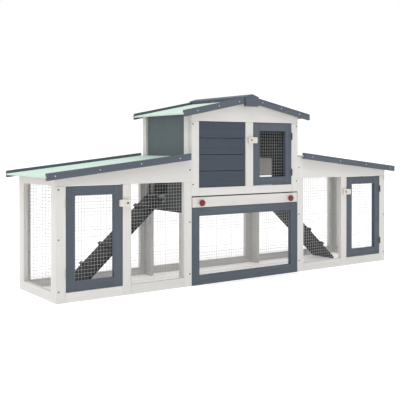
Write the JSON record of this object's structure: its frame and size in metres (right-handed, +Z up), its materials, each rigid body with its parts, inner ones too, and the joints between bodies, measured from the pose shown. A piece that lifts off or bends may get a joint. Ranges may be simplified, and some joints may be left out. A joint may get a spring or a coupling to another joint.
{
  "type": "rabbit hutch",
  "caption": "Wooden rabbit hutch: a raised gabled house between mesh-sided runs, with hinged doors, turn buttons, ramps and a pull-out tray.",
  "frame": {"origin": "middle of the footprint, on the ground", "axes": "+X to the hutch's right as seen from in front of it, -Y out of its front, +Z up"},
  "size_m": [2.04, 0.45, 0.86],
  "materials": {
    "white_paint": "white painted fir, satin",
    "grey_paint": "slate grey painted fir, satin",
    "mint_roof": "plywood under pale green mineral felt, matt",
    "wire_mesh": "galvanised welded mesh",
    "zinc_steel": "zinc plated",
    "bare_wood": "bare sanded wood",
    "red_knob": "dark red gloss lacquer",
    "tray_plastic": "pale grey moulded plastic",
    "dark_wood": "dark grey stained wood"
  },
  "bodies": {
    "hutch": {"button_screws": "zinc_steel", "fascia_nails": "zinc_steel", "frame_leaves": "zinc_steel", "frame_screws": "zinc_steel", "house_front_fascias": "grey_paint", "house_front_frame": "white_paint", "house_rear_fascias": "grey_paint", "house_rear_frame": "white_paint", "left_end_frame": "white_paint", "left_end_mesh": "wire_mesh", "left_house_roof_sheet": "mint_roof", "left_run_front_frame": "white_paint", "left_run_front_mesh": "wire_mesh", "left_run_rear_frame": "white_paint", "left_run_rear_mesh": "wire_mesh", "left_run_roof_fascias": "grey_paint", "left_run_roof_sheet": "mint_roof", "left_side_frame": "white_paint", "left_side_panel": "grey_paint", "lower_front_frame": "grey_paint", "lower_front_mesh": "wire_mesh", "ramp_brackets": "zinc_steel", "rear_mesh": "wire_mesh", "rear_panel": "grey_paint", "ridge_cap": "grey_paint", "ridge_plates": "grey_paint", "right_end_frame": "white_paint", "right_end_mesh": "wire_mesh", "right_house_roof_sheet": "mint_roof", "right_run_front_frame": "white_paint", "right_run_front_mesh": "wire_mesh", "right_run_rear_frame": "white_paint", "right_run_rear_mesh": "wire_mesh", "right_run_roof_fascias": "grey_paint", "right_run_roof_sheet": "mint_roof", "right_side_frame": "white_paint", "right_side_panel": "grey_paint", "room_floor": "bare_wood", "slat_panel": "grey_paint"},
    "left_door": {"left_run_door_frame": "grey_paint", "left_run_door_mesh": "wire_mesh", "left_door_leaves": "zinc_steel"},
    "right_door": {"right_run_door_frame": "grey_paint", "right_run_door_mesh": "wire_mesh", "right_door_leaves": "zinc_steel"},
    "upper_door": {"upper_door_frame": "grey_paint", "upper_door_mesh": "wire_mesh", "upper_door_leaves": "zinc_steel"},
    "left_latch": {"left_turn_button": "bare_wood"},
    "right_latch": {"right_turn_button": "bare_wood"},
    "upper_latch": {"upper_turn_button": "bare_wood"},
    "tray": {"tray_front": "white_paint", "tray_knobs": "red_knob", "tray_pan": "tray_plastic"},
    "left_ramp": {"left_ramp_board": "dark_wood", "left_ramp_cleats": "dark_wood", "left_ramp_straps": "zinc_steel"},
    "right_ramp": {"right_ramp_board": "dark_wood", "right_ramp_cleats": "dark_wood", "right_ramp_straps": "zinc_steel"}
  },
  "joints": [
    {"name": "left_door_hinge", "type": "hinge", "parent": "hutch", "child": "left_door", "pos_m": [-0.927, -0.1934, 0.25], "axis": [0, 0, -1], "range_deg": [0, 165]},
    {"name": "right_door_hinge", "type": "hinge", "parent": "hutch", "child": "right_door", "pos_m": [0.927, -0.1934, 0.25], "axis": [0, 0, 1], "range_deg": [0, 165]},
    {"name": "upper_door_hinge", "type": "hinge", "parent": "hutch", "child": "upper_door", "pos_m": [0.279, -0.1934, 0.58], "axis": [0, 0, 1], "range_deg": [0, 120]},
    {"name": "left_latch_turn", "type": "hinge", "parent": "hutch", "child": "left_latch", "pos_m": [-0.653, -0.1963, 0.3835], "axis": [0, 1, 0], "range_deg": [-90, 90]},
    {"name": "right_latch_turn", "type": "hinge", "parent": "hutch", "child": "right_latch", "pos_m": [0.653, -0.1963, 0.3835], "axis": [0, -1, 0], "range_deg": [-90, 90]},
    {"name": "upper_latch_turn", "type": "hinge", "parent": "hutch", "child": "upper_latch", "pos_m": [0.015, -0.1963, 0.647], "axis": [0, -1, 0], "range_deg": [-90, 90]},
    {"name": "tray_slide", "type": "slide", "parent": "hutch", "child": "tray", "axis": [0, -1, 0], "range_m": [0, 0.3]},
    {"name": "left_ramp_lift", "type": "hinge", "parent": "hutch", "child": "left_ramp", "pos_m": [-0.34, 0.076, 0.383], "axis": [0, 1, 0], "range_deg": [0, 38]},
    {"name": "right_ramp_lift", "type": "hinge", "parent": "hutch", "child": "right_ramp", "pos_m": [0.34, 0.076, 0.383], "axis": [0, -1, 0], "range_deg": [0, 38]}
  ]
}
